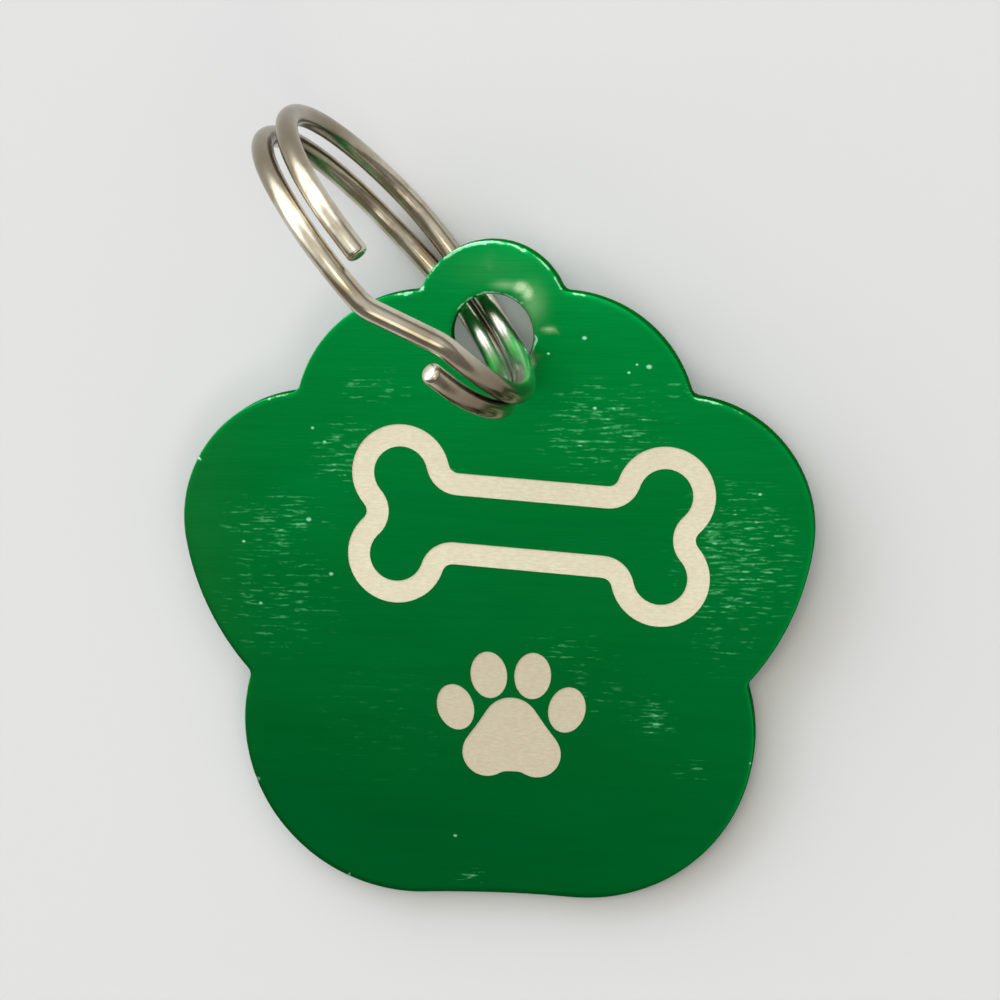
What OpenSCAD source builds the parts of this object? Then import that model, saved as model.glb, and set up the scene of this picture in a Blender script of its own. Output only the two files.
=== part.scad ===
// Pet id tag: a paw-shaped anodised plate that hangs on a two-turn split ring.
// It lies on a level surface: the plate leans on the foot of the ring, which stands up in its hole.
// The origin is on that surface, in the middle of the whole. +Y runs up the plate to its tab, and
// +Z is up. The plate's own places are measured from between the feet of its two bottom lobes.

/* [Plate] */
// Width of the plate over its side lobes
tag_w = 32; // [30:0.5:34]
// Height of the plate from the feet of the bottom lobes to the top of the tab
tag_h = 33.7; // [32.5:0.1:35]
// Thickness of the plate
tag_t = 1; // [0.8:0.1:1.2]
// Radius of the tab that carries the hole
tab_r = 3.8; // [3.5:0.1:4.2]
// Radius of the two upper lobes
upper_r = 6.75; // [6.25:0.25:7.25]
// Distance between the middles of the upper lobes
upper_apart = 6.7; // [6:0.1:8]
// Height of the middles of the upper lobes
upper_height = 24.45; // [23.5:0.05:25]
// Radius of the two side lobes
side_r = 6.7; // [6.2:0.1:7.2]
// Height of the middles of the side lobes
side_height = 19.35; // [18.5:0.05:20]
// Radius of the long flank below each side lobe
flank_r = 13.5; // [12:0.5:15]
// Angle below level at which a side lobe runs into its flank
flank_start = 9; // [5:1:15]
// Radius of the two bottom lobes
base_r = 8.8; // [8.3:0.1:9.3]
// Distance between the middles of the bottom lobes
base_apart = 8.6; // [8:0.1:9.4]
// Depth of the dip between the bottom lobes
base_dip = 0.12; // [0:0.01:0.2]
// Radius of the fillets in the notches between the lobes
notch_r = 0.5; // [0.3:0.1:0.7]

/* [Hole] */
// Diameter of the hole
hole_d = 4.1; // [4:0.1:4.5]
// Bar of metal left between the hole and the top of the tab
bar_w = 2.65; // [2.2:0.05:3]

/* [Laser marks] */
// Depth of the laser marks
mark_depth = 0.05; // [0.03:0.01:0.1]
// Width of the lines of the bone
stroke_w = 1.15; // [0.9:0.05:1.3]
// Length of the bone
bone_l = 18.4; // [16:0.2:19]
// Width of the bone's shaft over its lines
bone_shaft_w = 4.7; // [4:0.1:5.5]
// Radius of the bone's knobs
knob_r = 2.5; // [2.2:0.1:2.8]
// Distance between the middles of the two knobs at one end
knob_apart = 4.2; // [3.6:0.1:4.6]
// Radius of the fillets in the bone's notches
bone_notch_r = 0.5; // [0.3:0.1:0.7]
// Height of the bone's middle on the plate
bone_height = 19.4; // [18.5:0.1:20]
// Sideways place of the bone's middle
bone_x = 1.8; // [0:0.1:2]
// Angle by which the bone drops to the right
bone_drop = 4; // [0:1:8]
// Sideways place of the paw print's middle
print_x = 0.75; // [-1:0.05:1.5]
// Width of a toe of the paw print
toe_w = 1.9; // [1.6:0.05:2]
// Length of a toe of the paw print
toe_l = 2.45; // [2.1:0.05:2.6]
// Width of the pad of the paw print
pad_w = 5.1; // [4.7:0.1:5.5]
// Height of the foot of the pad on the plate
pad_foot = 6.3; // [5.5:0.1:7]
// Height of the pad of the paw print
pad_h = 4.2; // [3.8:0.1:4.5]

/* [Split ring] */
// Diameter of the ring's wire
wire_d = 1.05; // [0.9:0.05:1.1]
// Outer diameter of the ring
ring_d = 18; // [17:0.25:20]
// Gap between the two turns
turn_gap = 0.5; // [0.4:0.05:0.6]
// Direction from the hole to the ring's middle, seen from above
ring_bearing = 130.5; // [115:0.5:150]
// Least room between the wire and the rim of the hole when the ring stands
ring_play = 0.15; // [0.1:0.05:0.3]
// Angle round the ring of the wire's first end, from the side away from the plate
first_end = 83; // [70:1:88]
// Angle round the ring at which the wire starts to cross to the other turn
cross_start = 92; // [90:1:96]
// Angle round the ring at which the wire has crossed to the other turn
cross_finish = 125; // [122:1:128]
// Angle round the ring of the wire's last end
last_end = 125; // [125:1:145]
// Length of each half of the two bends at the ends of the crossing
bend_l = 0.5; // [0.3:0.1:0.7]
// Chamfer round the wire's cut ends
end_chamfer = 0.2; // [0.1:0.05:0.3]

/* [Hidden] */
$fn = 96;
// Overrun of the cuts
over = 0.2;
// Counts of the wire's facets: sides, rings in a full turn, in a bend and along the crossing
wire_sides = 12;
rings_a_turn = 40;
bend_rings = 3;
cross_rings = 3;
// Steps in which the plate's lean is found
lean_steps = 8;

// Places on the plate. The right half is drawn, and the left half mirrors it.
tab_c = [0, tag_h - tab_r];
hole_c = [0, tag_h - bar_w - hole_d / 2];
upper_c = [upper_apart / 2, upper_height];
side_c = [tag_w / 2 - side_r, side_height];
flank_c = side_c - (flank_r - side_r) * heading(-flank_start);
base_c = [base_apart / 2, base_r];
tab_notch = meet(tab_c, tab_r, upper_c, upper_r);
upper_notch = meet(upper_c, upper_r, side_c, side_r);
flank_notch = meet(flank_c, flank_r, base_c, base_r);

// The ring. Its middle line has radius ring_r, and its two turns lie turn_step apart. Its axis lies
// in the plate's plane, square to ring_bearing.
ring_r = (ring_d - wire_d) / 2;
wire_r = wire_d / 2;
turn_step = wire_d + turn_gap;
end_turn = wire_d / ring_r * 180 / PI;

// The ring stands at the angle at which its inside comes within ring_play of the hole's lower rim.
// The rim's corner lies rim_reach from the middle of the hole, beside the middle of either turn.
rim_reach = sqrt(pow(hole_d / 2, 2) - pow(turn_step / 2, 2));
inner_r = ring_r - wire_r - ring_play;
stand_side = pow(inner_r, 2) - pow(ring_r, 2) - pow(rim_reach, 2) - pow(tag_t / 2, 2);
stand_size = 2 * ring_r * norm([rim_reach, tag_t / 2]);
stand = atan2(tag_t / 2, -rim_reach) - acos(stand_side / stand_size);

// The plate leans by the angle that sets the ring's foot on the same level as the bottom edge.
ring_mid = hole_c + ring_r * cos(stand) * heading(ring_bearing);
ring_up = tag_t / 2 + ring_r * sin(stand);
ring_axis = [sin(ring_bearing), -cos(ring_bearing), 0];
lean = lean_after(0, lean_steps);

// How far the ring reaches from its middle in the direction whose cosine to its axis is given.
function ring_reach(cosine) =
    ring_r * sqrt(1 - pow(cosine, 2)) + turn_step / 2 * abs(cosine) + wire_r;
function lean_after(a, steps) =
    steps == 0 ? a : lean_after(
        asin((ring_reach(ring_axis.y * sin(a)) - ring_up * cos(a)) / ring_mid.y), steps - 1
    );

// The whole runs from the front of the bottom edge to the far side of the ring.
function leant(p) = [p.x, p.y * cos(lean) - p.z * sin(lean), p.y * sin(lean) + p.z * cos(lean)];
ring_placed = leant([ring_mid.x, ring_mid.y, ring_up]);
far_y = ring_placed.y + ring_reach(leant(ring_axis).y);
middle_y = (far_y - tag_t * sin(lean)) / 2;

// Joint of the ring: it swings on a line through the middle of the hole, along its own axis.
swing_axis = leant(ring_axis);
swing_point = leant([hole_c.x, hole_c.y, tag_t / 2]) - [0, middle_y, 0];
swing_range = [-2 * stand, 0];

// Plane geometry.
function heading(a) = [cos(a), sin(a)];
function unit(v) = v / norm(v);
function left_of(v) = [-v.y, v.x];
// Crossing of two circles on the left of the way from a to b.
function meet(a, ra, b, rb) =
    let (d = norm(b - a), along = (d * d + ra * ra - rb * rb) / (2 * d))
    a + along * unit(b - a) + sqrt(ra * ra - along * along) * left_of(unit(b - a));
function flipped(points) = [for (i = [len(points) - 1:-1:0]) [-points[i].x, points[i].y]];

// Sets a piece drawn on a flat plate into the resting part.
module lie() {
    translate([0, -middle_y, 0]) rotate([lean, 0, 0]) children();
}

module both_sides() {
    children();
    mirror([1, 0]) children();
}

module disc(c, r) {
    translate(c) circle(r);
}

// The straight-sided band that joins two discs along their common tangents.
module band(a, ra, b, rb) {
    way = unit(b - a);
    open = acos((ra - rb) / norm(b - a));
    from = atan2(way.y, way.x);
    polygon([
        a + ra * heading(from + open), b + rb * heading(from + open),
        b + rb * heading(from - open), a + ra * heading(from - open)
    ]);
}

module discs_joined(a, ra, b, rb) {
    disc(a, ra);
    disc(b, rb);
    band(a, ra, b, rb);
}

// Concave fillet in the notch between two lobes. Its patch starts inside the plate, and its sides
// cross the lobes' rims just before the fillet's arc would run along them.
patch_side_share = 0.08;
module notch_fillet(a, ra, b, rb) {
    f = meet(a, ra + notch_r, b, rb + notch_r);
    notch = meet(a, ra, b, rb);
    to_a = unit(a - f);
    to_b = unit(b - f);
    difference() {
        polygon([
            f, f + 2 * notch_r * unit(to_a + patch_side_share * to_b),
            notch + notch_r * unit(notch - f), f + 2 * notch_r * unit(to_b + patch_side_share * to_a)
        ]);
        disc(f, notch_r);
    }
}

// Sector of the flank's circle between the side lobe and the bottom lobe.
module flank() {
    to_notch = flank_notch - flank_c;
    last = atan2(to_notch.y, to_notch.x);
    intersection() {
        disc(flank_c, flank_r);
        polygon([
            flank_c, flank_c + 2 * flank_r * heading(-flank_start), flank_c + 2 * flank_r * heading(last)
        ]);
    }
}

module outline() {
    right = [[base_c.x, base_dip], flank_notch, upper_notch, tab_notch, tab_c];
    polygon(concat(right, flipped([for (i = [0:3]) right[i]])));
    disc(tab_c, tab_r);
    both_sides() {
        disc(upper_c, upper_r);
        disc(side_c, side_r);
        flank();
        disc(base_c, base_r);
        notch_fillet(tab_c, tab_r, upper_c, upper_r);
        notch_fillet(upper_c, upper_r, side_c, side_r);
        notch_fillet(flank_c, flank_r, base_c, base_r);
    }
}

// A bone with round knobs and a fillet in each notch. inset draws it smaller all round, for the inside
// of its line, where the knobs shrink and the fillets grow, so that the line has one width.
module bone_shape(inset) {
    knob = [bone_l / 2 - knob_r, knob_apart / 2];
    fillet_apart = knob_r + bone_notch_r;
    neck_rise = bone_shaft_w / 2 + bone_notch_r;
    neck = [knob.x - sqrt(pow(fillet_apart, 2) - pow(neck_rise - knob.y, 2)), neck_rise];
    end = [knob.x + sqrt(pow(fillet_apart, 2) - pow(knob.y, 2)), 0];
    square([2 * knob.x, bone_shaft_w - 2 * inset], center = true);
    both_sides() for (row = [-1, 1]) mirror([0, (1 - row) / 2]) {
        disc(knob, knob_r - inset);
        bone_fillet(neck, knob, [neck.x, 0], inset);
        bone_fillet(end, knob, [knob.x, -knob.y], inset);
    }
}

// Concave fillet about f, between the sides that face a and b. Its patch reaches into both of them.
bone_patch_share = 1.3;
module bone_fillet(f, a, b, inset) {
    hollow_r = bone_notch_r + inset;
    reach = hollow_r + (knob_r - inset) / 2;
    to_a = unit(a - f);
    to_b = unit(b - f);
    difference() {
        polygon([
            f, f + reach * unit(to_a + patch_side_share * to_b),
            f + bone_patch_share * reach * unit(to_a + to_b), f + reach * unit(to_b + patch_side_share * to_a)
        ]);
        disc(f, hollow_r);
    }
}

module bone() {
    translate([bone_x, bone_height]) rotate(-bone_drop) difference() {
        bone_shape(0);
        bone_shape(stroke_w);
    }
}

// A toe of the print, drawn about its own middle and tilted outward at the top.
module toe(tilt) {
    rotate(tilt) translate([0, -(toe_l - toe_w) / 2])
        discs_joined([0, 0], toe_w / 2, [0, toe_l - toe_w], toe_w / 2);
}

// The print's places are shares of the pad's width and height, from the middle of its foot.
inner_toe_shares = [0.22, 1.27];
outer_toe_shares = [0.56, 0.86];
pad_top_share = 0.29;
pad_side_share = 0.25;
pad_notch_share = 0.07;
inner_toe_tilt = 6;
outer_toe_tilt = -17;

module paw_print() {
    top_r = pad_w * pad_top_share;
    low_r = pad_w * pad_side_share;
    top = [0, pad_h - top_r];
    low = [pad_w / 2 - low_r, low_r];
    translate([print_x, pad_foot]) {
        both_sides() {
            translate([pad_w * inner_toe_shares.x, pad_h * inner_toe_shares.y]) toe(-inner_toe_tilt);
            translate([pad_w * outer_toe_shares.x, pad_h * outer_toe_shares.y]) toe(outer_toe_tilt);
            discs_joined(top, top_r, low, low_r);
        }
        polygon([
            top, [low.x, low.y], [low.x, pad_h * pad_notch_share], [-low.x, pad_h * pad_notch_share],
            [-low.x, low.y]
        ]);
    }
}

module tag_plate() {
    color("#0b7a3b") lie() difference() {
        linear_extrude(tag_t) outline();
        translate([hole_c.x, hole_c.y, -over]) cylinder(h = tag_t + 2 * over, d = hole_d);
        translate([0, 0, tag_t - mark_depth]) linear_extrude(mark_depth + over) {
            bone();
            paw_print();
        }
    }
}

// The wire's middle line, in the ring's own frame: the ring's axis is Z, X points away from the hole,
// and Y points up. A place on a turn is an angle from X. turn is 1 for the turn towards +Z, or -1.
function on_turn(a, turn) = [ring_r * cos(a), ring_r * sin(a), turn * turn_step / 2];
// Direction of the wire at a turn's angle, on the way down from the first end.
function wire_way(a) = [sin(a), -cos(a), 0];
// A turn between two angles, with both of its end points.
function walk(from, to, turn) =
    let (count = ceil((from - to) / 360 * rings_a_turn))
    [for (i = [0:count]) on_turn(from + (to - from) * i / count, turn)];
// The crossing runs straight between two corners, which lie on the turns' tangents and are rounded.
cross_from = on_turn(cross_finish, 1) + bend_l * wire_way(cross_finish);
cross_to = on_turn(cross_start, -1) - bend_l * wire_way(cross_start);
cross_way = unit(cross_to - cross_from);
function rounded(p, corner, q) =
    [
        for (i = [1:bend_rings - 1])
            let (t = i / bend_rings)
            pow(1 - t, 2) * p + 2 * t * (1 - t) * corner + t * t * q
    ];

first_arc_end = first_end - end_turn;
last_arc_end = last_end + end_turn;
first_turn = walk(first_arc_end, cross_finish - 360, 1);
last_turn = walk(cross_start, last_arc_end - 360, -1);
first_tip = first_turn[0] - wire_d * wire_way(first_arc_end);
last_tip = last_turn[len(last_turn) - 1] + wire_d * wire_way(last_arc_end);
bend_out = cross_from + bend_l * cross_way;
bend_in = cross_to - bend_l * cross_way;
wire_line = concat(
    [first_tip, first_tip + end_chamfer * wire_way(first_arc_end)],
    first_turn,
    rounded(on_turn(cross_finish, 1), cross_from, bend_out),
    [for (i = [0:cross_rings]) bend_out + (bend_in - bend_out) * i / cross_rings],
    rounded(bend_in, cross_to, on_turn(cross_start, -1)),
    last_turn,
    [last_tip - end_chamfer * wire_way(last_arc_end), last_tip]
);

// One ring of points round the wire at point i of its middle line. The cut ends are drawn in.
function wire_ring(i) =
    let (
        last = len(wire_line) - 1,
        way = unit(wire_line[min(i + 1, last)] - wire_line[max(i - 1, 0)]),
        side = unit(cross(way, [0, 0, 1])),
        rise = cross(side, way),
        r = i == 0 || i == last ? wire_r - end_chamfer : wire_r
    )
    [
        for (k = [0:wire_sides - 1])
            let (a = 360 * k / wire_sides)
            wire_line[i] + r * (cos(a) * side + sin(a) * rise)
    ];

// A closed tube through rings of equal count: triangles round each step, and a fan over each end.
module tube(rings) {
    n = len(rings[0]);
    end = n * (len(rings) - 1);
    walls = [
        for (i = [0:len(rings) - 2], k = [0:n - 1])
            let (a = n * i + k, b = n * i + (k + 1) % n)
            each [[a, a + n, b], [b, a + n, b + n]]
    ];
    fans = [for (k = [1:n - 2]) each [[0, k, k + 1], [end, end + k + 1, end + k]]];
    polyhedron([for (ring = rings) each ring], concat(walls, fans));
}

module wire() {
    tube([for (i = [0:len(wire_line) - 1]) wire_ring(i)]);
}

module split_ring() {
    color("#c9c4b4") lie() translate([ring_mid.x, ring_mid.y, ring_up])
        rotate([0, 0, ring_bearing]) rotate([90, 0, 0]) wire();
}

// Least gap of the wire to itself, between points of its middle line that are a few rings apart.
apart_rings = 6;
wire_gap = min([
    for (i = [0:len(wire_line) - 1], j = [i + apart_rings:1:len(wire_line) - 1])
        norm(wire_line[i] - wire_line[j])
]) - wire_d;
echo(wire_gap = wire_gap, stand = stand, lean = lean);
echo(swing_point = swing_point, swing_axis = swing_axis, swing_range = swing_range);
echo(ring_middle = ring_placed - [0, middle_y, 0], middle_y = middle_y);

tag_plate();
split_ring();
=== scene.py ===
"""Pet id tag: a paw-shaped anodised plate on a polished split ring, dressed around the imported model.

Lengths are in millimetres, as on a drawing, and become metres where a mesh is made. The plate's own
places are measured from between the feet of its bottom lobes, on its back.
"""
import math

import bpy
import numpy as np
from mathutils import Matrix, Vector, geometry, noise


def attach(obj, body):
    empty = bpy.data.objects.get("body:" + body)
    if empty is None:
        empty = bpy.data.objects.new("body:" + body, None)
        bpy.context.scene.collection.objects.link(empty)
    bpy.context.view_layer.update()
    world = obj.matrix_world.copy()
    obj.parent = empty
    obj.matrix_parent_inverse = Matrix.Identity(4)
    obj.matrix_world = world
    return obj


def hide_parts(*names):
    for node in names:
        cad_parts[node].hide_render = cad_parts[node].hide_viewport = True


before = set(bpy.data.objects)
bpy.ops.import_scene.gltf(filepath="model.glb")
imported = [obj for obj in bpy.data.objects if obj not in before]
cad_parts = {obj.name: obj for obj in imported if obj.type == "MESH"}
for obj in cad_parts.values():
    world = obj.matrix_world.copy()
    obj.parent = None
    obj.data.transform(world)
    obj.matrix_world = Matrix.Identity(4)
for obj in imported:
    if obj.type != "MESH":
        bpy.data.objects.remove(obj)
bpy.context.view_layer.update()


# The plate: 1 mm aluminium sheet, blanked to the shape of a paw with a round tab, and pierced for
# the ring. Blanking leaves its rims slightly rounded, and knocks in the pocket leave small nicks.

METRE = 0.001
full_turn = 2 * math.pi
tag_w = 32
tag_h = 33.7
tag_t = 1
tab_r = 3.8
upper_r = 6.75
upper_apart = 6.7
upper_height = 24.45
side_r = 6.7
side_height = 19.35
flank_r = 13.5
flank_start = math.radians(9)
base_r = 8.8
base_apart = 8.6
base_dip = 0.12
notch_r = 0.5
notch_steps = 6
hole_d = 4.1
bar_w = 2.65
mark_depth = 0.05
rim_r = 0.08
rim_steps = 4
# Unevenness of the rim's rounding: share of its radius, length of the waves, slice of the noise.
rim_waves = [(0.25, 2.1, 0.0), (0.15, 0.5, 4.0)]
# A nick lowers the face by this share of its depth. The rim is worn a little all round, and most in
# a nick.
nick_drop_share = 0.6
least_worn = 0.1
nick_worn = 1.3
# Spacing of the mesh's points along the rims and over the faces, and the loop inside each rim.
outline_spacing = 0.1
hole_spacing = 0.05
margin = 0.3
grid_spacing = 0.5
# Points this close are one. Which side of a cut is sunk is read just beside its first edge.
same_point = 1e-6
beside_share = 0.001
sharp_from = math.radians(40)


def heading(angle):
    return complex(math.cos(angle), math.sin(angle))


def angle_of(way):
    return math.atan2(way.imag, way.real)


def meet(a, ra, b, rb):
    """Crossing of two circles, on the left of the way from a to b."""
    apart = abs(b - a)
    along = (apart ** 2 + ra ** 2 - rb ** 2) / (2 * apart)
    return a + (along + 1j * math.sqrt(ra ** 2 - along ** 2)) * (b - a) / apart


def arc(centre, radius, start, finish, spacing=outline_spacing):
    """Points along an arc and the ways out from its middle. The last point is left to what follows."""
    count = max(2, round(abs(finish - start) * radius / spacing))
    ways = np.exp(1j * np.linspace(start, finish, count, endpoint=False))
    return centre + radius * ways, ways


tab_c = complex(0, tag_h - tab_r)
hole_c = complex(0, tag_h - bar_w - hole_d / 2)
upper_c = complex(upper_apart / 2, upper_height)
side_c = complex(tag_w / 2 - side_r, side_height)
flank_c = side_c - (flank_r - side_r) * heading(-flank_start)
base_c = complex(base_apart / 2, base_r)
dip_r = (base_c.real ** 2 / base_dip + base_dip) / 2 - base_r
dip_c = complex(0, base_dip - dip_r)


def half_outline():
    """The right half, from the middle of the bottom edge to the top of the tab."""
    lobes = [
        (base_c, base_r, None),
        (flank_c, flank_r, -flank_start),
        (side_c, side_r, None),
        (upper_c, upper_r, None),
        (tab_c, tab_r, math.pi / 2),
    ]
    dip, dip_ways = arc(dip_c, dip_r, math.pi / 2, angle_of(base_c - dip_c))
    runs = [(dip, -dip_ways)]
    start = angle_of(dip_c - base_c)
    for i, (c, r, ends) in enumerate(lobes):
        if ends is not None:
            runs.append(arc(c, r, start, ends))
            start = ends
            continue
        next_c, next_r = lobes[i + 1][:2]
        fillet = meet(next_c, next_r + notch_r, c, r + notch_r)
        runs.append(arc(c, r, start, angle_of(fillet - c)))
        begin = angle_of(c - fillet)
        swing = angle_of((next_c - fillet) / (c - fillet))
        turned, ways = arc(fillet, notch_r, begin, begin + swing, notch_r / notch_steps)
        runs.append((turned, -ways))
        start = angle_of(fillet - next_c)
    return np.concatenate([p for p, _ in runs]), np.concatenate([w for _, w in runs])


right, right_out = half_outline()
outline = np.concatenate([right, [1j * tag_h], -right[:0:-1].conj()])
outline_out = np.concatenate([right_out, [1j], -right_out[:0:-1].conj()])
hole, hole_out = arc(hole_c, hole_d / 2, full_turn, 0, hole_spacing)
hole_out = -hole_out

# Nicks in the rims: place on the plate, half length along the rim, depth.
nicks = [
    (1.66, 33.4, 0.17, 0.1), (3.2, 31.6, 0.13, 0.14), (-4.3, 31.1, 0.2, 0.07), (-3.5, 31.3, 0.12, 0.07),
    (2.1, 28.75, 0.16, 0.09), (1.45, 30.55, 0.12, 0.09), (13.0, 10.8, 0.12, 0.07), (12.9, 7.4, 0.12, 0.07),
    (-12.5, 5.8, 0.14, 0.08), (13.7, 24.2, 0.12, 0.07), (-2.1, 32.9, 0.12, 0.06), (4.2, 30.7, 0.14, 0.06),
    (-0.3, 33.65, 0.14, 0.05), (10.2, 1.9, 0.12, 0.05), (-7.8, 0.8, 0.12, 0.05), (-15.2, 22.6, 0.1, 0.05),
]
# Stretches of rim worn through the dye, with painted sheen where they face the light: place on the plate,
# reach, how bare.
wear_and_sheen_stretches = [
    (-2.9, 32.2, 0.7, 0.75), (-1.9, 33.05, 0.8, 0.95), (-0.8, 33.5, 0.8, 1.0), (0.2, 33.7, 0.6, 0.85),
    (1.3, 33.5, 0.8, 0.75), (2.5, 32.7, 0.8, 0.76), (3.3, 31.6, 0.5, 0.75), (-4.4, 31.1, 0.7, 0.75),
    (-3.6, 31.3, 0.4, 0.6), (-11.0, 25.6, 0.9, 0.68), (-12.2, 25.4, 0.6, 0.5), (4.3, 30.65, 0.8, 0.8),
    (5.4, 30.5, 0.6, 0.5), (10.6, 25.75, 1.1, 0.68), (12.2, 25.3, 0.8, 0.52), (-1.3, 30.6, 0.8, 0.72),
    (-0.2, 31.05, 0.9, 0.78), (0.9, 30.85, 0.6, 0.75), (-1.9, 29.7, 0.7, 0.5), (2.05, 28.6, 0.5, 0.95),
    (1.75, 27.85, 0.6, 0.9), (-12.4, 5.9, 0.4, 0.5), (13.4, 24.4, 0.4, 0.5),
]
# Dings in the face, where a knock has bared a dot of metal: place, radius.
dings = [
    (4.6, 28.9, 0.17), (2.8, 28.1, 0.11), (7.8, 27.5, 0.2), (6.8, 27.2, 0.12), (7.2, 27.6, 0.1),
    (-9.2, 24.2, 0.12), (-9.5, 19.5, 0.19), (-12.9, 18.3, 0.13), (-8.4, 16.7, 0.16), (-12.1, 15.1, 0.13),
    (-8.6, 23.5, 0.12), (-6.5, 22.3, 0.15), (5.1, 25.4, 0.14), (13.3, 21.2, 0.13), (-2.2, 3.1, 0.14),
]


def nicked(points):
    """How deep the rim is dented at each point."""
    depth = np.zeros(len(points))
    for x, y, half, deep in nicks:
        depth = np.maximum(depth, deep * np.exp(-(np.abs(points - complex(x, y)) / half) ** 2))
    return depth


def bared_and_sheened(points):
    """How far the rim's dye has gone at each point, from 0 to 1, and the painted sheen of stretches that
    face the light.
    """
    share = np.full(len(points), least_worn)
    for x, y, reach, strength in wear_and_sheen_stretches:
        share = np.maximum(share, strength * np.exp(-(np.abs(points - complex(x, y)) / reach) ** 4))
    for x, y, half, _ in nicks:
        share = np.maximum(share, nick_worn * np.exp(-(np.abs(points - complex(x, y)) / half) ** 2))
    return share


def uneven(points, pitch, lift):
    """A smooth irregular value from -1 to 1 at each point, whose waves are about pitch long."""
    return np.array([noise.noise(Vector((p.real / pitch, p.imag / pitch, lift))) for p in points])


def rim(points, outward):
    """Loops of points up a cut edge, from the back face to the marked face, and the lost dye and painted
    sheen of each.
    """
    face_r = rim_r * (1 + sum(share * uneven(points, pitch, lift) for share, pitch, lift in rim_waves))
    dent = nicked(points)
    bare_and_sheen = bared_and_sheened(points)
    loops, worn_and_sheen = [], []
    for step in range(rim_steps + 1):
        up = math.pi / 2 * (step / rim_steps - 1)
        loops.append((points - outward * rim_r * (1 - math.cos(up)), rim_r * (1 + math.sin(up))))
        worn_and_sheen.append(0.5 * bare_and_sheen * (1 - math.cos(up)))
    for step in range(rim_steps + 1):
        up = math.pi / 2 * step / rim_steps
        inset = face_r * (1 - math.cos(up)) + dent * math.sin(up) ** 2
        drop = (face_r + dent * nick_drop_share) * (1 - math.sin(up))
        loops.append((points - outward * inset, tag_t - drop))
        worn_and_sheen.append(bare_and_sheen * math.sin(up))
    return loops, worn_and_sheen


# The marks' outlines are needed here, because the plate's face is cut round them. The bone's line has
# the same width all round, with a fillet in each notch.

stroke_w = 1.15
bone_l = 18.4
bone_shaft_w = 4.7
knob_r = 2.5
knob_apart = 4.2
bone_notch_r = 0.5
bone_place = complex(1.8, 19.4)
bone_drop = math.radians(4)
print_x = 0.75
toe_w = 1.9
toe_l = 2.45
pad_w = 5.1
pad_foot = 6.3
pad_h = 4.2
pad_top_share = 0.29
pad_low_share = 0.25
pad_dip_share = 0.07
pad_waist = 0.03
mark_spacing = 0.09
toe_points = 80
# The toes' places, as shares of the pad's width and height, and their tilt in degrees.
toe_shares = {
    "toe_outer_left": (-0.56, 0.86, 17),
    "toe_inner_left": (-0.22, 1.27, 6),
    "toe_inner_right": (0.22, 1.27, -6),
    "toe_outer_right": (0.56, 0.86, -17),
}


def softened(points, passes):
    """A closed outline with evenly spaced points and with its corners rounded, as the laser leaves them."""
    ring = np.append(points, points[0])
    run = np.concatenate([[0], np.cumsum(np.abs(np.diff(ring)))])
    even = np.linspace(0, run[-1], round(run[-1] / mark_spacing), endpoint=False)
    loop = np.interp(even, run, ring.real) + 1j * np.interp(even, run, ring.imag)
    for _ in range(passes):
        loop = (np.roll(loop, 1) + 2 * loop + np.roll(loop, -1)) / 4
    return loop


def bone_line(inset):
    """The outline of the bone, or of the inside of its line."""
    knob = complex(bone_l / 2 - knob_r, knob_apart / 2)
    out = knob_r + bone_notch_r
    neck_rise = bone_shaft_w / 2 + bone_notch_r
    neck = complex(knob.real - math.sqrt(out ** 2 - (neck_rise - knob.imag) ** 2), neck_rise)
    end = complex(knob.real + math.sqrt(out ** 2 - knob.imag ** 2), 0)
    hollow_r = bone_notch_r + inset
    quarter = np.concatenate([
        arc(end, hollow_r, math.pi, angle_of(knob - end), mark_spacing)[0],
        arc(knob, knob_r - inset, angle_of(end - knob), angle_of(neck - knob), mark_spacing)[0],
        arc(neck, hollow_r, angle_of(knob - neck), -math.pi / 2, mark_spacing)[0],
        [neck - 1j * hollow_r],
    ])
    half = np.concatenate([quarter, -quarter[:0:-1].conj()])
    return softened(np.concatenate([half, [-quarter[0]], half[:0:-1].conj()]), 2)


def placed(loop, at, turn):
    return at + loop * heading(turn)


def toe(across_share, up_share, tilt):
    """An oval toe of the print."""
    ways = np.exp(1j * np.linspace(0, full_turn, toe_points, endpoint=False))
    oval = toe_w / 2 * ways.real + 1j * toe_l / 2 * ways.imag
    at = complex(print_x + across_share * pad_w, pad_foot + up_share * pad_h)
    return softened(placed(oval, at, math.radians(tilt)), 1)


def pad():
    """The print's pad: a round lobe at the top, two at the foot, a dip between these and a slight waist."""
    top_r = pad_top_share * pad_w
    low_r = pad_low_share * pad_w
    dip = pad_dip_share * pad_h
    top = complex(0, pad_h - top_r)
    low = complex(pad_w / 2 - low_r, low_r)
    lean_out = angle_of(low - top) + math.acos((top_r - low_r) / abs(low - top))
    foot = math.asin((low_r - dip) / low_r) - math.pi
    waist = (low + top + (low_r + top_r) * heading(lean_out)) / 2 - pad_waist * heading(lean_out)
    side = np.concatenate([
        arc(low, low_r, foot, lean_out, mark_spacing)[0],
        [low + low_r * heading(lean_out), waist],
        arc(top, top_r, lean_out, math.pi / 2, mark_spacing)[0],
    ])
    return softened(np.concatenate([side, -side[::-1].conj()]), 6) + complex(print_x, pad_foot)


marks = {
    "bone": [placed(bone_line(inset), bone_place, -bone_drop) for inset in (0, stroke_w)],
    **{name: [toe(*shares)] for name, shares in toe_shares.items()},
    "pad": [pad()],
}


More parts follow.
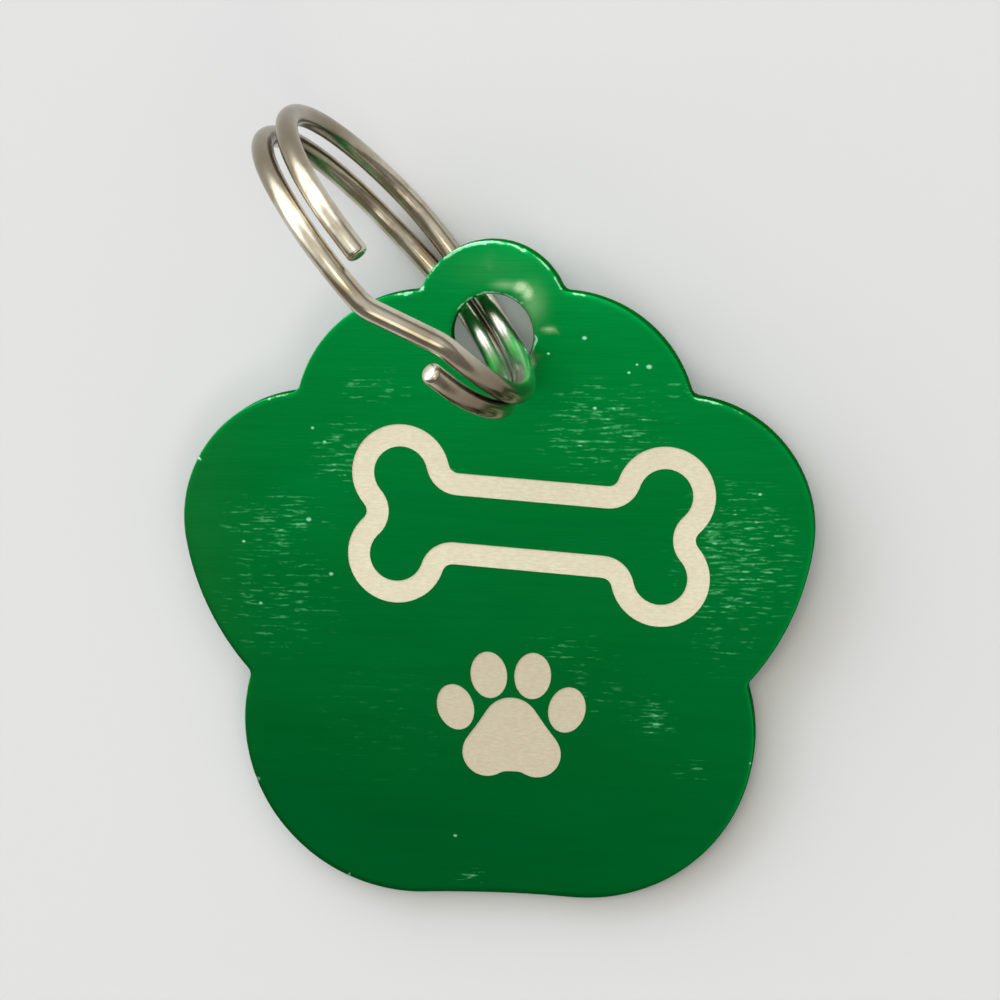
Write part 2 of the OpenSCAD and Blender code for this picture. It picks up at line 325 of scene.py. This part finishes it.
def within(points, loop):
    """Which of the points lie inside a closed outline."""
    inside = np.zeros(len(points), bool)
    for a, b in zip(loop, np.roll(loop, -1)):
        spans = (a.imag > points.imag) != (b.imag > points.imag)
        if spans.any():
            slope = (b.real - a.real) / (b.imag - a.imag)
            inside ^= spans & (points.real < a.real + (points.imag - a.imag) * slope)
    return inside


def between(points, loops):
    """Which of the points lie inside an odd number of closed outlines."""
    inside = np.zeros(len(points), bool)
    for loop in loops:
        inside ^= within(points, loop)
    return inside


def anticlockwise(loop):
    return np.sum(np.imag(loop.conj() * np.roll(loop, -1))) > 0


def filled(loops, loose):
    """Triangles between closed outlines and through loose points, as numbers of the points given."""
    points = np.concatenate(loops + [loose])
    edges, start = [], 0
    for loop in loops:
        edges += [(start + i, start + (i + 1) % len(loop)) for i in range(len(loop))]
        start += len(loop)
    flat = [(p.real, p.imag) for p in points]
    found = geometry.delaunay_2d_cdt(flat, edges, [], 0, same_point, True)
    source = [ids[0] for ids in found[3]]
    return points, np.array([[source[i] for i in face] for face in found[2]])


def make(name, points, faces, lie, **values):
    """A mesh in metres, with values such as its places on the plate kept at its points."""
    mesh = bpy.data.meshes.new(name)
    lying = [tuple(lie @ Vector(p) * METRE) for p in points]
    mesh.from_pydata(lying, [], [tuple(map(int, f)) for f in faces])
    for key, kept in values.items():
        kept = np.asarray(kept, float)
        made = mesh.attributes.new(key, "FLOAT_VECTOR" if kept.ndim > 1 else "FLOAT", "POINT")
        made.data.foreach_set("vector" if kept.ndim > 1 else "value", kept.ravel())
    mesh.shade_smooth()
    mesh.set_sharp_from_angle(angle=sharp_from)
    piece = bpy.data.objects.new(name, mesh)
    bpy.context.scene.collection.objects.link(piece)
    return piece


def band(low, high, count):
    """Faces between two loops of points, given the numbers of their first points."""
    return [(low + i, low + (i + 1) % count, high + (i + 1) % count, high + i) for i in range(count)]


class Shell:
    """The points and faces of a closed mesh in the making, and its lost dye and painted sheen at each
    point.
    """

    def __init__(self):
        self.points, self.faces, self.worn_and_sheen = [], [], []

    def add(self, flat, heights, worn_and_sheen=0.0):
        """Adds points over places in the plate's plane, and gives their numbers."""
        first = len(self.points)
        self.points += [(p.real, p.imag, h) for p, h in zip(flat, np.broadcast_to(heights, len(flat)))]
        self.worn_and_sheen += list(np.broadcast_to(worn_and_sheen, len(flat)))
        return np.arange(first, len(self.points))

    def finished(self):
        """Points, faces, lost dye and painted sheen, without the points that no face uses."""
        used = sorted({i for face in self.faces for i in face})
        again = {old: new for new, old in enumerate(used)}
        faces = [[again[i] for i in face] for face in self.faces]
        return np.array(self.points)[used], faces, np.array(self.worn_and_sheen)[used]


# Finer points for the dings and for the wear and painted glow beside the hole.
rub_glow_c = complex(1.3, 30.6)
rub_glow_r = 2.3
rub_glow_spacing = 0.17
ding_sides = 8
ding_height_share = 0.75
knock = np.linspace(0, full_turn, ding_sides, endpoint=False)
knock = np.append(0, np.cos(knock) + 1j * ding_height_share * np.sin(knock))
ding_points = np.concatenate([complex(x, y) + r * knock for x, y, r in dings])


def triangular(low, high, spacing):
    """A grid of points in even triangles over a rectangle."""
    xs = np.arange(low.real, high.real, spacing)
    ys = np.arange(low.imag, high.imag, spacing)
    return (xs[None, :] + 0.5 * spacing * (np.arange(len(ys)) % 2)[:, None] + 1j * ys[:, None]).ravel()


def add_rim(shell, loop, outward):
    """A cut edge all round. Gives its loops of places and of points at the back and at the face."""
    loops, loop_worn_and_sheen = rim(loop, outward)
    numbers = [shell.add(flat, height, bare_and_sheen) for (flat, height), bare_and_sheen in zip(loops, loop_worn_and_sheen)]
    for low, high in zip(numbers, numbers[1:]):
        shell.faces += band(low[0], high[0], len(loop))
    return {"back": (loops[0][0], numbers[0]), "face": (loops[-1][0], numbers[-1])}


def loose_points(lines, dots):
    """A loop inside each rim, which keeps the margin of lost dye and painted sheen narrow, the dots, and a
    grid between them.
    """
    margins = [(outline - outline_out * margin)[::2], (hole - hole_out * margin)[::2]]
    coarse = triangular(complex(-tag_w / 2, 0), complex(tag_w / 2, tag_h), grid_spacing)
    square = rub_glow_r * (1 + 1j)
    fine = triangular(rub_glow_c - square, rub_glow_c + square, rub_glow_spacing)
    fine = fine[np.abs(fine - rub_glow_c) < rub_glow_r]
    coarse = coarse[np.abs(coarse - rub_glow_c) >= rub_glow_r]
    grid = np.concatenate([coarse, fine])
    room = 0.5 * np.repeat([grid_spacing, rub_glow_spacing], [len(coarse), len(fine)])
    near = np.concatenate(lines + margins + [ding_points])
    keep = between(grid, margins)
    keep &= np.array([np.abs(near - g).min() for g in grid]) > room
    return np.concatenate([grid[keep]] + margins + dots)


def add_flat(shell, edges, height, cuts, dots):
    """A flat side of the plate between its two cut edges, with the marks sunk into it."""
    lines = [flat for flat, _ in edges] + cuts
    flat, triangles = filled(lines, loose_points(lines, dots))
    triangles = triangles[between(flat[triangles].mean(axis=1), lines[:2])]
    sunk = between(flat[triangles].mean(axis=1), cuts)
    shared = np.concatenate([numbers for _, numbers in edges])
    number = np.concatenate([shared, shell.add(flat[len(shared):], height)])
    low = np.unique(triangles[sunk])
    floor = number.copy()
    floor[low] = shell.add(flat[low], height - mark_depth)
    for triangle, is_sunk in zip(triangles, sunk):
        corners = (floor if is_sunk else number)[triangle]
        shell.faces.append(corners if height > 0 else corners[::-1])
    start = len(shared)
    for loop in cuts:
        ring = np.arange(start, start + len(loop))
        start += len(loop)
        left = (loop[0] + loop[1]) / 2 + beside_share * 1j * (loop[1] - loop[0])
        left_sunk = between(np.array([left]), cuts)[0]
        for a, b in zip(ring, np.roll(ring, -1)):
            a, b = (a, b) if left_sunk else (b, a)
            shell.faces.append((number[a], number[b], floor[b], floor[a]))


shell = Shell()
edges = [add_rim(shell, outline, outline_out), add_rim(shell, hole, hole_out)]
cuts = [loop for loops in marks.values() for loop in loops]
add_flat(shell, [edge["face"] for edge in edges], tag_t, cuts, [ding_points])
add_flat(shell, [edge["back"] for edge in edges], 0.0, [], [])
points, faces, worn_and_sheen = shell.finished()

# Clusters of short scuffs along the brushing: place, half width, half height, strength.
scuffs = [
    (-7.6, 22.9, 1.5, 1.7, 0.9), (-6.0, 26.3, 1.8, 0.8, 0.6), (-11.2, 19.3, 2.6, 1.5, 0.75),
    (-1.9, 21.9, 0.6, 0.6, 0.6), (-11.2, 15.4, 3.2, 2.8, 0.5), (5.6, 24.4, 3.0, 2.2, 0.85),
    (12.0, 18.0, 2.8, 3.4, 1.0), (7.9, 9.7, 1.1, 1.0, 0.9), (10.0, 7.0, 1.0, 0.6, 0.5),
    (-1.5, 1.0, 0.8, 0.4, 0.9), (9.4, 26.4, 0.9, 0.5, 0.6), (3.6, 12.9, 2.4, 1.2, 0.4),
    (5.2, 10.8, 1.8, 1.8, 0.3), (-6.0, 9.0, 5.0, 4.0, 0.15), (11.6, 13.6, 1.6, 1.6, 0.4),
]
# Round the hole the ring has worn the dye pale and glossy, with a painted glow for the light there.
rub_and_glow_spots = [
    (1.45, 31.4, 0.4, 0.26, 1.25), (1.8, 31.1, 0.3, 0.38, 1.0), (2.0, 30.6, 0.8, 1.2, 0.35),
    (0.7, 31.5, 0.8, 0.25, 0.5), (2.85, 29.3, 0.4, 0.16, 0.7), (1.8, 27.75, 0.3, 0.5, 1.0),
    (1.3, 27.3, 0.5, 0.25, 0.4), (-0.1, 32.6, 0.25, 0.5, 0.25), (0.0, 32.2, 2.6, 1.0, 0.12),
]


def patches_at(points, spots, squareness):
    """How marked each point is by the strongest of some oval spots, which fade towards their rims."""
    share = np.zeros(len(points))
    for x, y, half_w, half_h, strength in spots:
        off = ((points[:, 0] - x) / half_w) ** 2 + ((points[:, 1] - y) / half_h) ** 2
        share = np.maximum(share, strength * np.exp(-off ** squareness))
    return share


# Knocks and scuffs show on the dyed face alone; the ring's wear and painted glow reach the upper half of
# the rims too.
on_face = points[:, 2] > tag_t - mark_depth / 2
scuffed = patches_at(points, scuffs, squareness=1.5) * on_face
rubbed_and_glow = patches_at(points, rub_and_glow_spots, squareness=1) * (points[:, 2] > tag_t / 2)
knocked = [np.hypot(points[:, 0] - x, points[:, 1] - y) < r / 2 for x, y, r in dings]
dinged = np.any(knocked, axis=0) * on_face

# The plate lies on its bottom lobes and on the ring below its tab. The ring stands on the table and
# leans on the hole's rim, and both leans are worked out as for the solids.

wire_d = 1.05
ring_d = 18
turn_gap = 0.5
lean_tries = 8
ring_bearing = math.radians(130.5)
ring_play = 0.15
ring_r = (ring_d - wire_d) / 2
wire_r = wire_d / 2
turn_step = wire_d + turn_gap
rim_reach = math.sqrt((hole_d / 2) ** 2 - (turn_step / 2) ** 2)
stand_side = (ring_r - wire_r - ring_play) ** 2 - ring_r ** 2 - rim_reach ** 2 - (tag_t / 2) ** 2
stand_size = 2 * ring_r * math.hypot(rim_reach, tag_t / 2)
stand = math.atan2(tag_t / 2, -rim_reach) - math.acos(stand_side / stand_size)
ring_mid = hole_c + ring_r * math.cos(stand) * heading(ring_bearing)
ring_up = tag_t / 2 + ring_r * math.sin(stand)
ring_axis = Vector((math.sin(ring_bearing), -math.cos(ring_bearing), 0))


def ring_reach(cosine):
    return ring_r * math.sqrt(1 - cosine ** 2) + turn_step / 2 * abs(cosine) + wire_r


lean = 0.0
for _ in range(lean_tries):
    lean = math.asin((ring_reach(ring_axis.y * math.sin(lean)) - ring_up * math.cos(lean)) / ring_mid.imag)
leant = Matrix.Rotation(lean, 4, "X")
far_y = (leant @ Vector((ring_mid.real, ring_mid.imag, ring_up))).y + ring_reach((leant @ ring_axis).y)
lie = Matrix.Translation((0, -(far_y - tag_t * math.sin(lean)) / 2, 0)) @ leant

kept = {"place": points, "worn_and_sheen": worn_and_sheen, "scuffed": scuffed, "dinged": dinged, "rubbed_and_glow": rubbed_and_glow}
plate = make("plate_brushed", points, faces, lie, **kept)
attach(plate, "tag")
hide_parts("tag_plate")


class Value:
    """A socket of a material's nodes. Sums on it add Math nodes."""

    def __init__(self, mix, socket):
        self.mix, self.socket = mix, socket

    def sum(self, operation, *others):
        return self.mix.node("ShaderNodeMath", {"operation": operation}, dict(enumerate(others)))

    def __add__(self, other):
        return self.sum("ADD", self, other)

    def __sub__(self, other):
        return self.sum("SUBTRACT", self, other)

    def __rsub__(self, other):
        return self.sum("SUBTRACT", other, self)

    def __mul__(self, other):
        return self.sum("MULTIPLY", self, other)

    __radd__ = __add__
    __rmul__ = __mul__

    def over(self, low, high):
        """0 below low, 1 above high, and smooth between them."""
        return self.mix.node(
            "ShaderNodeMapRange", {"interpolation_type": "SMOOTHSTEP"},
            {"Value": self, "From Min": low, "From Max": high},
        )


class Mixture:
    """The nodes of one material or of the world."""

    def __init__(self, owner):
        owner.use_nodes = True
        self.tree = owner.node_tree
        self.tree.nodes.clear()

    def node(self, kind, settings=None, sockets=None, output=0):
        """Adds a node: its type, its settings, then the values or links of its sockets."""
        made = self.tree.nodes.new(kind)
        for key, setting in (settings or {}).items():
            setattr(made, key, setting)
        for key, given in (sockets or {}).items():
            socket = made.inputs[key]
            if isinstance(given, Value):
                self.tree.links.new(given.socket, socket)
            else:
                socket.default_value = (*given, 1) if socket.type == "RGBA" else given
        return Value(self, made.outputs[output]) if len(made.outputs) else None

    def kept(self, key, output="Fac"):
        """A number that the mesh keeps at its points, or a place with output Vector."""
        return self.node("ShaderNodeAttribute", {"attribute_name": key}, output=output)

    def axis(self, place, letter):
        """One coordinate of a place."""
        return self.node("ShaderNodeSeparateXYZ", None, {0: place}, output=letter)

    def speckle(self, place, pitch, detail=2.0, rough=0.5, shift=0.0):
        """Noise from 0 to 1 whose grains are about pitch long in each direction."""
        stretched = self.node(
            "ShaderNodeVectorMath", {"operation": "MULTIPLY_ADD"},
            {0: place, 1: [1 / p for p in pitch], 2: (shift, shift, shift)},
        )
        return self.node(
            "ShaderNodeTexNoise", {"noise_dimensions": "3D"},
            {"Vector": stretched, "Scale": 1.0, "Detail": detail, "Roughness": rough},
        )

    def colours(self, share, first, second):
        """A mixture of two colours by a share."""
        return self.node("ShaderNodeMix", {"data_type": "RGBA"}, {0: share, 6: first, 7: second}, output=2)

    def bump(self, height, distance, under=None):
        """Relief of a height in millimetres."""
        given = {"Height": height, "Distance": distance * METRE}
        if under is not None:
            given["Normal"] = under
        return self.node("ShaderNodeBump", None, given)

    def finish(self, **sockets):
        """The surface itself."""
        given = {key.replace("_", " ").title(): v for key, v in sockets.items()}
        surface = self.node("ShaderNodeBsdfPrincipled", None, given)
        self.node("ShaderNodeOutputMaterial", None, {"Surface": surface})


def paint(name, *pieces):
    """A new material on the pieces."""
    material = bpy.data.materials.new(name)
    for piece in pieces:
        piece.data.materials.append(material)
    return Mixture(material)


def srgb(red, green, blue):
    """A colour read as 0 to 255 on a screen, as the light that it stands for."""
    shares = [c / 255 for c in (red, green, blue)]
    return tuple(((c + 0.055) / 1.055) ** 2.4 if c > 0.04 else c / 12.92 for c in shares)


# Anodising: a dyed oxide layer over brushed metal. The brushing runs across the plate, the dye is
# worn through along the rims, and short scuffs along the brushing have gone pale. Painted light is
# mixed in: the green is lighter towards the top and at the tab, the rims carry painted sheen, and a
# painted glow lies round the hole.
dyed = paint("green_anodising", plate)
place = dyed.kept("place", "Vector")
lines = dyed.speckle(place, (2.6, 0.09, 1.0), detail=3.0, rough=0.6)
broad_lines = dyed.speckle(place, (7.0, 0.5, 1.0), detail=2.0, shift=11.0)
clouds = dyed.speckle(place, (9.0, 6.0, 5.0), detail=1.0, shift=3.0)
dashes = dyed.speckle(place, (0.95, 0.14, 1.0), detail=0.0, shift=7.0)
ripples = dyed.speckle(place, (2.6, 0.17, 1.0), detail=1.0, shift=13.0)
grains = dyed.speckle(place, (0.3, 0.12, 1.0), detail=1.0, shift=17.0)
sparks = dyed.speckle(place, (0.35, 0.17, 1.0), detail=0.0, shift=5.0)
crumbs = dyed.speckle(place, (0.22, 0.22, 0.4), detail=2.0, shift=9.0)
across = dyed.axis(place, "X")
along = dyed.axis(place, "Y")

# Painted light: the green is lighter towards the top and again over the tab, for the lamps' glow mirrored
# there.
green = dyed.colours(along.over(0.0, 34.0), srgb(0, 124, 53), srgb(2, 150, 66))
green = dyed.colours(along.over(28.5, 34.0) * 0.85, green, srgb(8, 176, 82))
green = dyed.colours((0 - across).over(11.0, 16.5) * 0.45, green, srgb(40, 132, 54))
green = dyed.colours(clouds.over(0.35, 0.7) * 0.3, green, srgb(6, 124, 46))
brushing = lines.over(0.35, 0.75) * 0.2 + broad_lines.over(0.4, 0.7) * 0.1
green = dyed.colours(brushing, green, srgb(0, 102, 40))
scuff = dyed.kept("scuffed")
dash = dashes * 0.55 + ripples * 0.3 + grains * 0.15 - 0.585 + scuff * 0.11
dash = dash.over(0.0, 0.14) * scuff.over(0.03, 0.4)
green = dyed.colours(dash * grains.over(0.3, 0.6) * 0.55, green, srgb(96, 214, 136))
spark = (sparks + dashes - 1.38 + scuff * 0.14).over(0.0, 0.2) * scuff.over(0.3, 0.8)
green = dyed.colours(spark * 0.75, green, srgb(150, 244, 190))
# Painted glow mixed with worn, glossy dye round the hole.
rub_and_glow = dyed.kept("rubbed_and_glow") * (0.94 + crumbs * 0.12)
green = dyed.colours(rub_and_glow.over(0.0, 1.1) * 0.95, green, srgb(206, 255, 200))
# The rims are painted pale where the dye is worn through, and as painted sheen where they face the light.
edge = dyed.kept("worn_and_sheen")
bare_and_sheen = (edge + crumbs * 0.7 - 0.35).over(0.5, 0.7)
green = dyed.colours(bare_and_sheen * 0.88, green, srgb(164, 238, 194))
green = dyed.colours(dyed.kept("dinged").over(0.05, 0.6) * 0.92, green, srgb(180, 255, 212))
relief = dyed.bump(lines, 0.0012)
relief = dyed.bump(clouds, 0.05, relief)
dyed.finish(
    base_color=green,
    metallic=1.0,
    roughness=lines * 0.1 + 0.27 - rub_and_glow * 0.08,
    specular_tint=srgb(40, 150, 80),
    normal=relief,
)


# The marks: a laser has burnt the dye off in lines, which leaves the metal matt and cream white in
# a shallow recess. They are the outline of a bone, and a paw print below it.

mark_clearance = 0.012
mark_film = 0.016
film_spacing = 0.25
film_room = film_spacing / 3


def mark_mesh(loops):
    """A thin closed film that lies on the floor of a recess, just clear of its walls."""
    drawn = []
    for k, loop in enumerate(loops):
        way = np.roll(loop, -1) - np.roll(loop, 1)
        inward = 1j * way / np.abs(way) * (1 if anticlockwise(loop) == (k == 0) else -1)
        drawn.append(loop + inward * mark_clearance)
    xs, ys = drawn[0].real, drawn[0].imag
    grid = triangular(complex(xs.min(), ys.min()), complex(xs.max(), ys.max()), film_spacing)
    near = np.concatenate(drawn)
    keep = between(grid, drawn)
    keep &= np.array([np.abs(near - g).min() for g in grid]) > film_room
    flat, triangles = filled(drawn, grid[keep])
    triangles = triangles[between(flat[triangles].mean(axis=1), drawn)]
    n = len(flat)
    floor_height = tag_t - mark_depth
    points = [(p.real, p.imag, height) for height in (floor_height + mark_film, floor_height) for p in flat]
    faces = [list(t) for t in triangles] + [[n + i for i in t[::-1]] for t in triangles]
    start = 0
    for k, loop in enumerate(drawn):
        metal_left = anticlockwise(loop) == (k == 0)
        count = len(loop)
        for i in range(count):
            a, b = start + i, start + (i + 1) % count
            faces.append([a, a + n, b + n, b] if metal_left else [b, b + n, a + n, a])
        start += count
    return np.array(points), faces


burnt_marks = []
for name, loops in marks.items():
    points, faces = mark_mesh(loops)
    mark = make("mark_" + name, points, faces, lie, place=points)
    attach(mark, "tag")
    burnt_marks.append(mark)

burnt = paint("laser_cream", *burnt_marks)
place = burnt.kept("place", "Vector")
fibres = burnt.speckle(place, (0.35, 0.12, 1.0), detail=3.0, rough=0.65)
patches = burnt.speckle(place, (1.3, 1.0, 1.0), detail=2.0, shift=4.0)
scan = burnt.speckle(place, (6.0, 0.06, 1.0), detail=1.0, shift=8.0)
along = burnt.axis(place, "Y")
cream = burnt.colours(fibres.over(0.3, 0.7), srgb(234, 225, 194), srgb(248, 240, 212))
cream = burnt.colours(patches.over(0.4, 0.7) * 0.4, cream, srgb(236, 222, 198))
cream = burnt.colours(scan.over(0.5, 0.8) * 0.25, cream, srgb(214, 202, 168))
# Painted shade: the lower marks, the paw print, are darker, as the green is lower down.
below = 1 - along.over(12.5, 14.5)
cream = burnt.colours(below * (1.05 - fibres * 0.6), cream, srgb(206, 194, 167))
relief = burnt.bump(fibres, 0.01)
burnt.finish(base_color=cream, metallic=0.2, roughness=0.62 + fibres * 0.12, normal=relief)


# The split ring: hard round wire, nickel plated and polished, wound two turns and cut. It runs down
# through the hole and up again, and crosses from one turn to the other beside its ends. Sprung shut,
# its turns lie closest together in the hole, and close together at the ends too.

first_end = math.radians(83)
cross_start = math.radians(92)
cross_finish = math.radians(125)
last_end = math.radians(125)
bend_l = 0.5
# Where the turns draw together: angle, reach to each side, fade beyond it, by how much.
drawn_in = [(212, 28, 48, 0.43), (105, 45, 50, 0.18)]
end_round = 0.25
end_steps = 6
wire_sides = 32
wire_spacing = 0.2
bend_steps = 8
cross_steps = 12


def on_turn(angle, turn):
    """Place of a turn's middle line at an angle round the ring, from the side away from the plate."""
    step = turn_step
    for at, reach, fade, less in drawn_in:
        off = abs((math.degrees(angle) - at + 180) % 360 - 180)
        share = min(max((off - reach) / fade, 0), 1)
        step -= less * (1 - share * share * (3 - 2 * share))
    return Vector((ring_r * math.cos(angle), ring_r * math.sin(angle), turn * step / 2))


def wire_way(angle):
    """Direction of the wire at an angle of the ring, on the way down from the first end."""
    return Vector((math.sin(angle), -math.cos(angle), 0))


def walk(start, finish, turn):
    """Places along a turn's middle line."""
    count = math.ceil((start - finish) * ring_r / wire_spacing)
    return [on_turn(start + (finish - start) * i / count, turn) for i in range(count + 1)]


def rounded(p, corner, q):
    """Places along a bend from p to q."""
    shares = [i / bend_steps for i in range(1, bend_steps)]
    return [(1 - t) ** 2 * p + 2 * t * (1 - t) * corner + t * t * q for t in shares]


end_turn = wire_d / ring_r
cross_from = on_turn(cross_finish, 1) + bend_l * wire_way(cross_finish)
cross_to = on_turn(cross_start, -1) - bend_l * wire_way(cross_start)
cross_way = (cross_to - cross_from).normalized()
bend_out = cross_from + bend_l * cross_way
bend_in = cross_to - bend_l * cross_way
first_turn = walk(first_end - end_turn, cross_finish - full_turn, 1)
last_turn = walk(cross_start, last_end + end_turn - full_turn, -1)
body = (
    first_turn
    + rounded(first_turn[-1], cross_from, bend_out)
    + [bend_out.lerp(bend_in, i / cross_steps) for i in range(cross_steps + 1)]
    + rounded(bend_in, cross_to, last_turn[0])
    + last_turn
)
first_way = wire_way(first_end - end_turn)
last_way = wire_way(last_end + end_turn)
roundings = [math.pi / 2 * i / end_steps for i in range(end_steps + 1)]
tip_reach = [wire_d - end_round * (1 - math.cos(q)) for q in roundings]
tip_r = [wire_r - end_round * (1 - math.sin(q)) for q in roundings]
line = [body[0] - first_way * reach for reach in tip_reach]
line += body + [body[-1] + last_way * reach for reach in tip_reach[::-1]]
radius = tip_r + [wire_r] * len(body) + tip_r[::-1]


def drawn_wire(line, radius):
    """A closed round wire, and at each of its points the run along it and the way off its middle."""
    points, faces, along_wire, run = [], [], [], 0.0
    for i, (middle, r) in enumerate(zip(line, radius)):
        way = (line[min(i + 1, len(line) - 1)] - line[max(i - 1, 0)]).normalized()
        side = way.cross(Vector((0, 0, 1))).normalized()
        rise = side.cross(way)
        run += (middle - line[i - 1]).length if i else 0.0
        for k in range(wire_sides):
            q = full_turn * k / wire_sides
            points.append(middle + r * (math.cos(q) * side + math.sin(q) * rise))
            along_wire.append((run, r * math.cos(q), r * math.sin(q)))
    for i in range(len(line) - 1):
        a = i * wire_sides
        faces += [face[::-1] for face in band(a, a + wire_sides, wire_sides)]
    faces.append(list(range(wire_sides)))
    faces.append(list(range(len(points) - wire_sides, len(points)))[::-1])
    return points, faces, along_wire


points, faces, along_wire = drawn_wire(line, radius)
stand_up = (
    lie
    @ Matrix.Translation((ring_mid.real, ring_mid.imag, ring_up))
    @ Matrix.Rotation(ring_bearing, 4, "Z")
    @ Matrix.Rotation(math.pi / 2, 4, "X")
)
kept = {"place": [tuple(p) for p in points], "wire": along_wire}
wire = make("ring_polished", points, faces, stand_up, **kept)
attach(wire, "ring")
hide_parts("split_ring")

nickel = paint("polished_nickel", wire)
place = nickel.kept("place", "Vector")
wire_place = nickel.kept("wire", "Vector")
drawn = nickel.speckle(wire_place, (3.0, 0.09, 0.09), detail=2.0)
tarnish = nickel.speckle(place, (2.2, 2.2, 2.2), detail=3.0, shift=2.0)
smears = nickel.speckle(wire_place, (0.9, 0.4, 0.4), detail=3.0, shift=6.0)
# The plating tarnishes unevenly and has brown smears. The far bends and the near end above the
# plate are painted darker as painted dark reflections, and the wire in the hole is painted paler as
# a painted highlight.
metal = nickel.colours(tarnish.over(0.35, 0.7), srgb(214, 207, 188), srgb(180, 165, 138))
reach = nickel.axis(place, "X")
height = nickel.axis(place, "Y")
# Painted dark reflection on the far bends.
metal = nickel.colours(reach.over(3.8, 7.6) * 0.85, metal, srgb(122, 111, 90))
near_end = (0 - reach).over(4.6, 7.2)
# Painted dark reflection on the near end above the plate.
metal = nickel.colours(near_end * height.over(-0.5, 1.5) * 0.8, metal, srgb(108, 90, 68))
# Painted highlight: paler metal where the wire passes through the hole.
metal = nickel.colours(near_end * (0 - height).over(0.0, 2.0) * 0.8, metal, srgb(240, 240, 234))
metal = nickel.colours(smears.over(0.48, 0.75) * 0.4, metal, srgb(136, 116, 90))
relief = nickel.bump(drawn, 0.001)
relief = nickel.bump(tarnish, 0.03, relief)
nickel.finish(base_color=metal, metallic=1.0, roughness=0.16 + smears * 0.1, normal=relief)


# The table that it lies on, a plain room and the camera, which looks down from above the tab's right.
# The room is dark low down and towards the tag's foot, and dimmer to the right. Its window is on the
# tab's side, to the left.

table_w = 1.2
mesh = bpy.data.meshes.new("table")
half = table_w / 2
corners = [(-half, -half, 0), (half, -half, 0), (half, half, 0), (-half, half, 0)]
mesh.from_pydata(corners, [], [(0, 1, 2, 3)])
table = bpy.data.objects.new("table", mesh)
bpy.context.scene.collection.objects.link(table)
paint("pale_table", table).finish(base_color=(0.78, 0.775, 0.765), roughness=0.9)

world = bpy.data.worlds.new("studio")
bpy.context.scene.world = world
sky = Mixture(world)
direction = sky.node("ShaderNodeTexCoord", output="Generated")
north = sky.axis(direction, "Y")
east = sky.axis(direction, "X")
up = sky.axis(direction, "Z")
dome = sky.colours(north.over(-0.42, -0.08), (0.18, 0.175, 0.165), (1.0, 0.995, 0.98))
dome = sky.colours(east.over(-0.1, 0.35) * 0.3, dome, (0.1, 0.095, 0.09))
dome = sky.colours(up.over(0.2, 0.7), (0.23, 0.22, 0.2), dome)
window_bearing = math.radians(130.5)
facing = north * math.sin(window_bearing) + east * math.cos(window_bearing)
window = facing.over(0.36, 0.7) * (1 - up.over(0.5, 0.68))
dome = sky.colours(window, dome, (2.65, 2.85, 3.2))
light_path = sky.node("ShaderNodeLightPath", output="Is Camera Ray")
seen = sky.colours(light_path, dome, (0.86, 0.85, 0.83))
back = sky.node("ShaderNodeBackground", None, {"Color": seen, "Strength": 1.0})
sky.node("ShaderNodeOutputWorld", None, {"Surface": back})


def lamp(name, width, height, power, at, colour):
    """A soft lamp that faces the tag, from a place in metres."""
    light = bpy.data.lights.new(name, "AREA")
    light.shape, light.size, light.size_y = "RECTANGLE", width, height
    light.energy, light.color = power, colour
    piece = bpy.data.objects.new(name, light)
    bpy.context.scene.collection.objects.link(piece)
    piece.location = at
    piece.rotation_euler = (-Vector(at)).to_track_quat("-Z", "Y").to_euler()


lamp("window", 0.28, 0.2, 0.35, (-0.28, 0.325, 0.14), (0.97, 0.99, 1.0))
lamp("ceiling_near", 0.14, 0.11, 0.14, (-0.03, 0.1, 0.385), (1.0, 0.95, 0.8))
lamp("ceiling_far", 0.2, 0.12, 0.14, (0.14, -0.165, 0.34), (1.0, 0.95, 0.8))

camera_place = Vector((22.322, 19.39, 149.724))
camera_turn = (-7.23, 8.495, -0.025)
camera = bpy.data.cameras.new("camera")
camera.lens = 108
camera.sensor_width = 36
camera.clip_start = 0.01
camera.clip_end = 10
shot = bpy.data.objects.new("camera", camera)
bpy.context.scene.collection.objects.link(shot)
shot.location = camera_place * METRE
shot.rotation_euler = [math.radians(angle) for angle in camera_turn]
bpy.context.scene.camera = shot
bpy.context.scene.view_settings.view_transform = "Standard"
